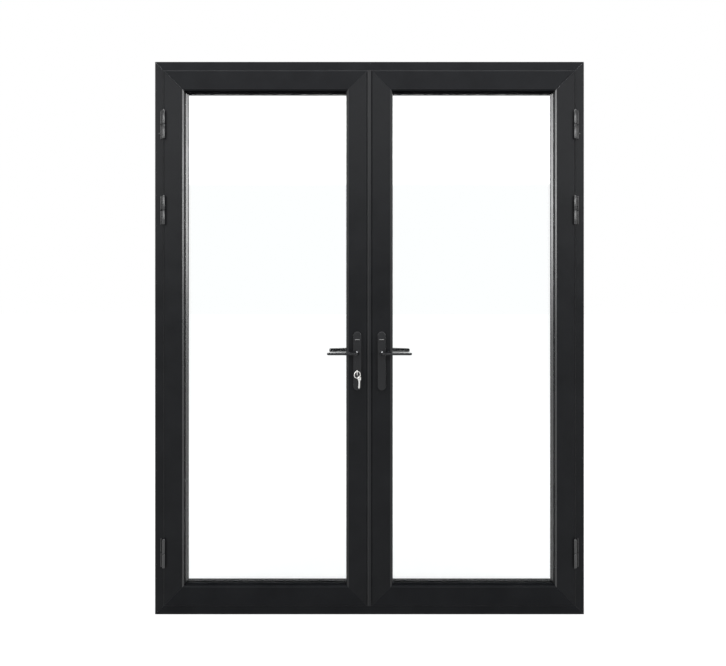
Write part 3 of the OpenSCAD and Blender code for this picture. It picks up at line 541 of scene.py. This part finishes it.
# %% Seal round the frame opening
GAP_SEAL_W, GAP_SEAL_BACK, GAP_SEAL_DEEP, GAP_CROWN = 1.9 * MM, 0.3 * MM, 3 * MM, 0.3 * MM
FRAME_GAP = 2 * MM
low = Vector((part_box("left_hinge_stile")[0].x, face_y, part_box("left_bottom_rail")[0].z))
high = Vector((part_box("right_hinge_stile")[1].x, face_y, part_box("left_top_rail")[1].z))
opening = Vector((FRAME_GAP, 0, FRAME_GAP))
section = [(0, GAP_SEAL_BACK + GAP_CROWN), (0.5 * GAP_SEAL_W, GAP_SEAL_BACK),
           (GAP_SEAL_W, GAP_SEAL_BACK + GAP_CROWN), (GAP_SEAL_W, GAP_SEAL_DEEP), (0, GAP_SEAL_DEEP)]
section = [(inset, face_y + deep) for inset, deep in section]
gap_seal = mitred_bars("gap_seal", low - opening, high + opening, section, "frame", "black_rubber",
                       dict.fromkeys(("top", "bottom", "left", "right"), rubber))
print("gap seal", [bar.name for bar in gap_seal])

# %% [markdown]
# ## Levers
#
# Each lever is a casting: a round neck comes out of the plate, turns through a tight elbow and flows into a
# grip that tapers to its tip. Cut across, the grip is a wedge: its underside is level, the side towards the
# door is tall, and the top slopes down to a low outer edge. Seen from a standing eye, that slope mirrors the
# bright room as a white band, while the far lever shows its tall dark side. A curve with a bevel would keep
# one section all along. Here the rings follow the bent line and change from a circle to the wedge on their
# way round the elbow, so the casting has no seam. A polished pin on top of the elbow locks the lever to its
# square spindle; it is the bright dot at each elbow.

# %% Cast levers
RING_POINTS = 32
NECK_R = 6.5 * MM
ELBOW_R = 11 * MM
GRIP_DEEP = (9.8 * MM, 6.9 * MM)
INNER_TOP = {"front": (7.6 * MM, 4.9 * MM), "back": (13.6 * MM, 9.6 * MM)}
OUTER_TOP = (2.2 * MM, 1.0 * MM)
UNDERSIDE = {"front": (5.2 * MM, 5.2 * MM), "back": (6.6 * MM, 8.0 * MM)}
TIP_REACH = 2.6 * MM
GRIP_SQUARENESS = 4.5
ELBOW_STEPS, GRIP_STEPS, NOSE_STEPS = 12, 16, 8
NOSE_TURN = math.radians(86)
NOSE_ROUND = 0.5
PIN_ACROSS, PIN_BACK, PIN_SUNK = 0.6 * MM, 3 * MM, 1.0 * MM
PIN_STEPS = [(3.2 * MM, 0), (3.2 * MM, 1.0 * MM), (3.0 * MM, 1.9 * MM), (2.4 * MM, 2.5 * MM),
             (1.4 * MM, 2.9 * MM), (0.4 * MM, 3.0 * MM)]


def oval(half_a, half_b, squareness):
    """Points of a superellipse."""
    points = []
    for i in range(RING_POINTS):
        turn = 2 * math.pi * i / RING_POINTS
        c, s = math.cos(turn), math.sin(turn)
        points.append((math.copysign(abs(c) ** (2 / squareness), c) * half_a,
                       math.copysign(abs(s) ** (2 / squareness), s) * half_b))
    return points


def circle(radius):
    """Points of a circle."""
    return oval(radius, radius, 2)


def wedge(share, face):
    """Section of the grip at a share of its length: depth towards the door, then height."""
    deep = lerp(*GRIP_DEEP, share)
    points = []
    for a, b in oval(1, 1, GRIP_SQUARENESS):
        crest = lerp(lerp(*OUTER_TOP, share), lerp(*INNER_TOP[face], share), (a + 1) / 2)
        points.append((a * deep, b * (crest if b > 0 else lerp(*UNDERSIDE[face], share))))
    return points


def lever(side, face):
    """One cast lever with its pin, placed from its spindle."""
    node = f"{side}_{face}_lever"
    low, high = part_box(node)
    spindle = Vector(joints[f"{side}_lever_turn"]["pos_m"])
    leaf_low, leaf_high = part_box(f"{side}_lock_stile")
    across, out = SIDES[side], FACES[face]
    root_y = leaf_high.y if out > 0 else -leaf_low.y
    grip_y = max(high.y, -low.y) - GRIP_DEEP[0]
    bend_y = grip_y - ELBOW_R
    length = max(high.x - spindle.x, spindle.x - low.x) + TIP_REACH

    def at(x, y, z):
        """A point outwards along the lever, out of the door's middle plane, and up from the spindle."""
        return Vector((spindle.x + across * x, out * y, spindle.z + z))

    neck = circle(NECK_R)
    rings = [[at(a, y, b) for a, b in neck] for y in (root_y, lerp(root_y, bend_y, 0.5), bend_y)]
    for step in range(1, ELBOW_STEPS + 1):
        share = step / ELBOW_STEPS
        turn = share * math.pi / 2
        x, y = ELBOW_R * (1 - math.cos(turn)), bend_y + ELBOW_R * math.sin(turn)
        ring = [Vector(round_point).lerp(Vector(grip_point), ease(share))
                for round_point, grip_point in zip(neck, wedge(0, face))]
        rings.append([at(x + a * math.cos(turn), y - a * math.sin(turn), b) for a, b in ring])
    nose = GRIP_DEEP[1]
    for step in range(1, GRIP_STEPS + NOSE_STEPS + 1):
        share = min(1, step / GRIP_STEPS)
        turn = max(0, step - GRIP_STEPS) / NOSE_STEPS * NOSE_TURN
        x = lerp(ELBOW_R, length - nose, share) + nose * math.sin(turn)
        rings.append([at(x, grip_y - a * math.cos(turn), b * math.cos(turn) ** NOSE_ROUND)
                      for a, b in wedge(share, face)])
    piece = skin_rings(rings, f"{side}_{face}_cast_lever", handle_coat)

    pin_y, pin_z = bend_y + ELBOW_R - PIN_BACK, NECK_R - PIN_SUNK
    rings = [[at(PIN_ACROSS + a, pin_y + b, pin_z + rise) for a, b in circle(r)] for r, rise in PIN_STEPS]
    seat(skin_rings(rings, f"{side}_{face}_lever_pin", polished_steel), f"{side}_lever", "lock_steel")
    return seat(piece, f"{side}_lever", "handle_coat", node)


levers = [lever(side, face) for side in SIDES for face in FACES]
print("levers", [piece.name for piece in levers])

# %% [markdown]
# ## Handle plates
#
# A long round-ended plate covers the lock on each face. Its rim rolls over in a quarter circle, a raised
# collar carries the lever's neck, and a short ridge near the top hides the upper fixing. A bevelled box
# would pinch at the round ends, while outlines that shrink over the rim keep the roll even all round. The
# plates on the back face show the heads of the screws that pull both plates together.

# %% Plates, collars and ridges
PLATE_ROLL = 3 * MM
COLLAR_R, COLLAR_PROUD, COLLAR_FLARE, COLLAR_ROUND = 8.5 * MM, 4 * MM, 1 * MM, 1.5 * MM
RIDGE_HALF, RIDGE_H, RIDGE_PROUD = 9.5 * MM, 4.8 * MM, 2.4 * MM
RIDGE_DROP = 31.4 * MM
# The ridge's section as shares of its half height and its depth, then its length with the ends drawn in.
RIDGE_SECTION = [(-1, -0.6), (-1, 0.3), (-0.7, 0.85), (-0.2, 1), (0, 0.95), (0.8, 0.1), (1, -0.1), (1, -0.6)]
RIDGE_ENDS = [(-1, 0.55), (-0.93, 0.85), (-0.85, 1), (0.85, 1), (0.93, 0.85), (1, 0.55)]
END_STEPS = 16
QUARTER = [math.radians(angle) for angle in (0, 22.5, 45, 67.5, 90)]


def stadium(mid_x, low_z, high_z, radius, inset):
    """Outline of a round-ended plate in the X-Z plane, drawn in by an inset."""
    r = radius - inset
    points = []
    for centre_z, start in ((high_z - radius, 0), (low_z + radius, math.pi)):
        for i in range(END_STEPS + 1):
            turn = start + math.pi * i / END_STEPS
            points.append((mid_x + r * math.cos(turn), centre_z + r * math.sin(turn)))
    return points


def plate(side, face):
    """One rolled plate with its collar and ridge."""
    node = f"{side}_{face}_plate"
    low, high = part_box(node)
    out = FACES[face]
    spindle = Vector(joints[f"{side}_lever_turn"]["pos_m"])
    root = abs(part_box(f"{side}_lock_stile")[1 if out > 0 else 0].y)
    top = max(high.y, -low.y)
    radius = (high.x - low.x) / 2
    steps = [(0, root)]
    steps += [(PLATE_ROLL * (1 - math.cos(turn)), top - PLATE_ROLL + PLATE_ROLL * math.sin(turn))
              for turn in QUARTER]
    rings = [[Vector((x, out * y, z)) for x, z in stadium(spindle.x, low.z, high.z, radius, inset)]
             for inset, y in steps]
    body = skin_rings(rings, f"{side}_{face}_rolled_plate", handle_coat)
    seat(body, f"{side}_leaf", "handle_coat", node)

    lip = COLLAR_PROUD - COLLAR_ROUND
    steps = [(COLLAR_R + COLLAR_FLARE, 0), (COLLAR_R, COLLAR_FLARE)]
    steps += [(COLLAR_R - COLLAR_ROUND * (1 - math.cos(turn)), lip + COLLAR_ROUND * math.sin(turn))
              for turn in QUARTER]
    rings = [[Vector((spindle.x + a, out * (top + y), spindle.z + b)) for a, b in circle(r)]
             for r, y in steps]
    seat(skin_rings(rings, f"{side}_{face}_collar", handle_coat), f"{side}_leaf", "handle_coat")

    ridge_z = high.z - RIDGE_DROP
    rings = []
    for along, shrink in RIDGE_ENDS:
        rings.append([Vector((spindle.x + along * RIDGE_HALF, out * (top + y * shrink * RIDGE_PROUD),
                              ridge_z + z * shrink * RIDGE_H / 2)) for z, y in RIDGE_SECTION])
    seat(skin_rings(rings, f"{side}_{face}_ridge", hinge_coat), f"{side}_leaf", "handle_coat")
    return body


plates = [plate(side, face) for side in SIDES for face in FACES]
print("plates", [piece.name for piece in plates])

# %% [markdown]
# ## Key ring and spare key
#
# A split ring is a flat wire wound twice on itself, so it shows as two thin hoops side by side, where a
# plain torus would show one. The wire's section is carried along a coil of two turns that hangs in the bow
# of the key in the lock. The spare key hangs low on one side of the ring, a little askew: a stamped blank
# with a round head, a hole and a notched blade. Both are bright nickel, the palest things on the door.

# %% Split ring
RING_R = 12.6 * MM
WIRE_HALF, WIRE_SQUARENESS = (1.2 * MM, 0.75 * MM), 3
RING_YAW = math.radians(30)
COIL_STEPS, COIL_TURNS = 64, 2
BOW_HOLE_UP, BOW_HOLE_R, RING_SLACK = 6 * MM, 3.5 * MM, 0.55 * MM
UP = Vector((0, 0, 1))
lock_axis = Vector(joints["key_turn"]["pos_m"])
ring_low, ring_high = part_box("key_ring")
ring_top = lock_axis.z + BOW_HOLE_UP - BOW_HOLE_R + WIRE_HALF[0] + RING_SLACK
ring_mid = Vector((lock_axis.x, (ring_low.y + ring_high.y) / 2, ring_top - RING_R))
hoop = Vector((math.cos(RING_YAW), math.sin(RING_YAW), 0))
ring_axis = Vector((math.sin(RING_YAW), -math.cos(RING_YAW), 0))
rings = []
for step in range(COIL_STEPS * COIL_TURNS + 1):
    turn = math.pi + 2 * math.pi * step / COIL_STEPS
    shift = lerp(-2, 2, step / (COIL_STEPS * COIL_TURNS)) * WIRE_HALF[1]
    spoke = hoop * math.cos(turn) + UP * math.sin(turn)
    middle = ring_mid + spoke * RING_R + ring_axis * shift
    rings.append([middle + spoke * a + ring_axis * b for a, b in oval(*WIRE_HALF, WIRE_SQUARENESS)])
seat(skin_rings(rings, "split_ring", nickel), "key", "nickel", "key_ring")
print("split ring", round(2 * (RING_R + WIRE_HALF[0]) / MM, 1), "mm across")

# %% Stamped spare key
HANG = math.radians(46)
HEAD_R, HEAD_HOLE_R, HOLE_UP, HOLE_DROP = 10 * MM, 3.6 * MM, 4.6 * MM, 1.8 * MM
BLANK_HALF, BLADE_HALF, STAMPED_EDGE = 1.1 * MM, 0.9 * MM, 0.3 * MM
KEY_YAW, KEY_LEAN = math.radians(35), math.radians(3.5)
# Outline of the blade in mm, across and down from the hole.
BLADE = [(-4.3, 11), (4.3, 11), (4.3, 19.2), (2.7, 20.2), (2.7, 21.2), (4.0, 22.2), (1.9, 23.8),
         (1.9, 24.8), (3.8, 26.2), (2.9, 27.2), (2.9, 28.4), (4.2, 29.6), (2.1, 31.4), (2.1, 32.4),
         (4.0, 34), (4.3, 37.5), (0.6, 43), (-0.6, 43), (-4.3, 37.5)]
key_face = Vector((math.cos(KEY_YAW), math.sin(KEY_YAW), 0))
flat = Vector((-math.sin(KEY_YAW), math.cos(KEY_YAW), 0))
key_across = flat * math.cos(KEY_LEAN) + UP * math.sin(KEY_LEAN)
key_down = flat * math.sin(KEY_LEAN) - UP * math.cos(KEY_LEAN)
key_hole = ring_mid + (hoop * math.sin(HANG) - UP * math.cos(HANG)) * RING_R - UP * HOLE_DROP


def on_key(across, down, through):
    """A point of the hanging key, measured from the hole in its head."""
    return key_hole + key_across * across + key_down * down + key_face * through


rings = []
for radius, drop, through in (
        (HEAD_HOLE_R, 0, -BLANK_HALF), (HEAD_R - STAMPED_EDGE, HOLE_UP, -BLANK_HALF),
        (HEAD_R, HOLE_UP, STAMPED_EDGE - BLANK_HALF), (HEAD_R, HOLE_UP, BLANK_HALF - STAMPED_EDGE),
        (HEAD_R - STAMPED_EDGE, HOLE_UP, BLANK_HALF), (HEAD_HOLE_R, 0, BLANK_HALF)):
    rings.append([on_key(a, drop + b, through) for a, b in circle(radius)])
key_head = skin_rings(rings, "spare_key_head", nickel, looped=True)
rings = [[on_key(a * MM, b * MM, through) for a, b in BLADE] for through in (-BLADE_HALF, BLADE_HALF)]
key_blade = skin_rings(rings, "spare_key_blade", nickel)
for piece in (key_head, key_blade):
    seat(piece, "key", "nickel", "spare_key")
print("spare key", round(BLADE[-2][1] + (HEAD_R - HOLE_UP) / MM, 1), "mm long")

# %% [markdown]
# ## Hinges
#
# Each hinge is a pair of castings on a pin. The frame's half has a slim rounded flange on the jamb, a web
# and the lower knuckle; the leaf's half has a foot and the upper knuckle, which turns on a soft black
# washer. A small set screw sits beside the top hinge. Plain cylinders would leave knife-sharp ends. Every
# casting here keeps one section along its height, so it is swept upright from that section, and its ends are
# drawn in a little, as a casting's ends are. The joint gives the axis, and the sections start from there.

# %% Flanges, webs, knuckles and feet
HINGE_LEN, HINGE_PAIR = 108 * MM, 325 * MM
KNUCKLE_R, FLANGE_W, FLANGE_PROUD, FLANGE_SHIFT = 6 * MM, 6.4 * MM, 4.4 * MM, 2.6 * MM
WASHER_R, WASHER_T = 5.4 * MM, 2.4 * MM
FLANGE_STEPS, FLANGE_SUNK = 12, 0.3 * MM
WEB_T, CASTING_INSET = 1.6 * MM, 2 * MM
CASTING_SOFT, WASHER_SOFT = 1.4 * MM, 0.4 * MM
END_TIP, END_SHOULDER = 0.8, 0.94
NUB_R, NUB_OUT, NUB_DROP = 2.6 * MM, 20 * MM, 33 * MM
NUB_STEPS = [(1, -0.3 * MM), (1, 0.8 * MM), (0.8, 1.6 * MM), (0.3, 2 * MM)]
HALF_TURN = [math.pi * step / FLANGE_STEPS for step in range(FLANGE_STEPS + 1)]


def upright_casting(name, section, low_z, high_z, soft, finish, body, slot, *nodes):
    """One section along Z with softened ends."""
    middle = sum((Vector(point) for point in section), Vector((0, 0))) / len(section)
    rings = []
    for z, share in ((low_z, END_TIP), (low_z + soft / 3, END_SHOULDER), (low_z + soft, 1),
                     (high_z - soft, 1), (high_z - soft / 3, END_SHOULDER), (high_z, END_TIP)):
        rings.append([Vector((*middle.lerp(Vector(point), share), z)) for point in section])
    return seat(skin_rings(rings, name, finish), body, slot, *nodes)


hinge_pieces = []
for side, across in SIDES.items():
    axis = Vector(joints[f"{side}_leaf_swing"]["pos_m"])
    frame_node, leaf_node = f"{side}_hinge_frame_wings", f"{side}_hinge_leaf_wings"
    low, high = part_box(frame_node)
    leaf_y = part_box(f"{side}_hinge_stile")[0].y
    flange_out = max(abs(low.x), abs(high.x)) - abs(axis.x) + FLANGE_SHIFT
    top_mid = high.z - HINGE_LEN / 2
    mids = {"low": low.z + HINGE_LEN / 2, "mid": top_mid - HINGE_PAIR, "top": top_mid}

    def shape(points):
        """Points in plan, each given as a distance outwards from the axis, and a depth."""
        return [(axis.x + across * out, y) for out, y in points]

    flange_mid = flange_out - FLANGE_W / 2
    flange = shape([(flange_mid + FLANGE_W / 2 * math.cos(turn),
                     face_y + FLANGE_SUNK - FLANGE_PROUD * math.sin(turn)) for turn in HALF_TURN])
    web = shape([(flange_mid, face_y - WEB_T), (flange_mid, face_y), (6.2 * MM, face_y),
                 (0.5 * MM, leaf_y - 3 * MM), (3 * MM, leaf_y - 5 * MM), (6.6 * MM, face_y - WEB_T)])
    foot = shape([(2 * MM, leaf_y - 3 * MM), (-3 * MM, leaf_y - 3 * MM), (-4.4 * MM, leaf_y),
                  (3 * MM, leaf_y)])
    barrel = [(axis.x + a, axis.y + b) for a, b in circle(KNUCKLE_R)]
    ring = [(axis.x + a, axis.y + b) for a, b in circle(WASHER_R)]
    for where, mid in mids.items():
        name = f"{side}_{where}_hinge"
        start, end = mid - HINGE_LEN / 2, mid + HINGE_LEN / 2
        under, over = mid - WASHER_T / 2, mid + WASHER_T / 2
        for piece, section, z0, z1, body, node in (
                ("lower_flange", flange, start, under, "frame", frame_node),
                ("upper_flange", flange, over, end, "frame", frame_node),
                ("web", web, start + CASTING_INSET, under - CASTING_INSET, "frame", frame_node),
                ("lower_knuckle", barrel, start, under, "frame", frame_node),
                ("upper_knuckle", barrel, over, end, f"{side}_leaf", leaf_node),
                ("foot", foot, over + CASTING_INSET, end - CASTING_INSET, f"{side}_leaf", leaf_node)):
            hinge_pieces.append(upright_casting(f"{name}_{piece}", section, z0, z1, CASTING_SOFT,
                                                hinge_coat, body, "hinge_coat", node))
        hinge_pieces.append(upright_casting(f"{name}_washer", ring, under, over, WASHER_SOFT,
                                            rubber, "frame", "black_rubber"))
    nub_z = mids["top"] - NUB_DROP
    rings = [[Vector((axis.x + across * NUB_OUT + a, face_y - rise, nub_z + b))
              for a, b in circle(share * NUB_R)] for share, rise in NUB_STEPS]
    nub = skin_rings(rings, f"{side}_hinge_set_screw", hinge_coat)
    hinge_pieces.append(seat(nub, "frame", "hinge_coat"))
print("hinge castings", len(hinge_pieces))

# %% [markdown]
# ## Meeting seal
#
# The rubber bulb on the meeting strip presses lightly on the edge of the other leaf, so no light comes
# between the leaves. Its solid stays a hair clear of that edge, because rubber is squeezed in use and a
# solid isn't. The modelled strip has the squeezed form: a bulb with a flattened cheek that just touches. A
# thin rubber fin near the front keeps dust out of the slot, so that the joint shows as a soft line and not
# as a black crack.

# %% Rubber bulb between the leaves
SQUEEZE = 0.02 * MM
low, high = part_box("meeting_seal")
edge_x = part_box("left_lock_stile")[1].x + SQUEEZE
mid_y, half_y = (low.y + high.y) / 2, (high.y - low.y) / 2
# The bulb's section as shares of its reach and its half depth.
cheek = [(0, -1), (0.35, -1), (0.75, -0.85), (0.95, -0.6), (1, -0.3), (1, 0.3), (0.95, 0.6), (0.75, 0.85),
         (0.35, 1), (0, 1)]
rings = [[Vector((lerp(high.x, edge_x, reach), mid_y + swell * half_y, z)) for reach, swell in cheek]
         for z in (low.z, high.z)]
seat(skin_rings(rings, "meeting_bulb_seal", rubber), "right_leaf", "black_rubber", "meeting_seal")

FIN_SET_BACK, FIN_T, FIN_LAP = 1.2 * MM, 1.6 * MM, 0.6 * MM
FIN_TIP = (0.5 * MM, 0.9 * MM)
strip_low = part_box("meeting_strip")[0]
fin_y = strip_low.y + FIN_SET_BACK
fin = [(strip_low.x + FIN_LAP, fin_y), (edge_x, fin_y + FIN_TIP[0]), (edge_x, fin_y + FIN_TIP[1]),
       (strip_low.x + FIN_LAP, fin_y + FIN_T)]
rings = [[Vector((x, y, z)) for x, y in fin] for z in (low.z, high.z)]
seat(skin_rings(rings, "meeting_fin", rubber), "right_leaf", "black_rubber")
print("seal and fin", round((high.z - low.z) / MM), "mm long")

# %% [markdown]
# ## Screws
#
# Screws are where a maker's hand shows. Each head is a low dome with a cross recess. The cross could be cut
# out with a boolean, which leaves ragged faces; a round grid of points, whose height follows the dome and
# drops inside the arms of the cross, stays even. The screws hold the back plates, and the lock's faceplate
# and the strike, where they show when a leaf stands open.

# %% Cross-recess screw heads
SCREW_RINGS, SCREW_SPOKES = 9, 48
# Heights and widths as shares of the head's radius.
DOME, RIM, SKIRT = 0.28, 0.04, 0.12
CROSS_HALF, CROSS_REACH, CROSS_DEEP = 0.13, 0.6, 0.3


def screw_head(name, place, facing, radius, body):
    """A domed head with a cross recess, its rim on the surface at a place."""
    mesh = bmesh.new()
    turn = Vector(facing).to_track_quat("Z", "Y").to_matrix()
    rows = []
    for ring in range(SCREW_RINGS + 1):
        r = radius * ring / SCREW_RINGS
        row = []
        for spoke in range(SCREW_SPOKES):
            angle = 2 * math.pi * spoke / SCREW_SPOKES
            x, y = r * math.cos(angle), r * math.sin(angle)
            height = DOME * radius * (1 - (r / radius) ** 2) + RIM * radius
            if min(abs(x), abs(y)) < CROSS_HALF * radius and max(abs(x), abs(y)) < CROSS_REACH * radius:
                height -= CROSS_DEEP * radius
            row.append(mesh.verts.new(Vector(place) + turn @ Vector((x, y, height))))
            if ring == 0:
                break
        rows.append(row)
    rows.append([mesh.verts.new(v.co - turn @ Vector((0, 0, SKIRT * radius))) for v in rows[-1]])
    for near, far in zip(rows, rows[1:]):
        for i in range(SCREW_SPOKES):
            j = (i + 1) % SCREW_SPOKES
            if len(near) == 1:
                mesh.faces.new((near[0], far[i], far[j]))
            else:
                mesh.faces.new((near[i], near[j], far[j], far[i]))
    return seat(as_object(mesh, name, zinc_steel), body, "lock_steel")


# %% Screws of the back plates, the faceplate and the strike
PLATE_SCREW_R, PLATE_SCREW_IN = 4 * MM, 16 * MM
EDGE_SCREW_R = 3 * MM
# Each edge plate: the leaf it rides on, the way it faces along X, and its screws' distance from its ends.
EDGE_PLATES = {"lock_faceplate": ("left_leaf", 1, 6 * MM), "strike_plate": ("right_leaf", -1, 4.5 * MM)}

screws = []
for side in SIDES:
    low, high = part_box(f"{side}_back_plate")
    for where, z in (("upper", high.z - PLATE_SCREW_IN), ("lower", low.z + PLATE_SCREW_IN)):
        place = ((low.x + high.x) / 2, high.y, z)
        screws.append(screw_head(f"{side}_plate_screw_{where}", place, (0, 1, 0), PLATE_SCREW_R,
                                 f"{side}_leaf"))
for node, (body, facing, margin) in EDGE_PLATES.items():
    low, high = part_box(node)
    for where, z in (("upper", high.z - margin), ("lower", low.z + margin)):
        place = (high.x if facing > 0 else low.x, (low.y + high.y) / 2, z)
        screws.append(screw_head(f"{node}_screw_{where}", place, (facing, 0, 0), EDGE_SCREW_R, body))
print("screws", len(screws))
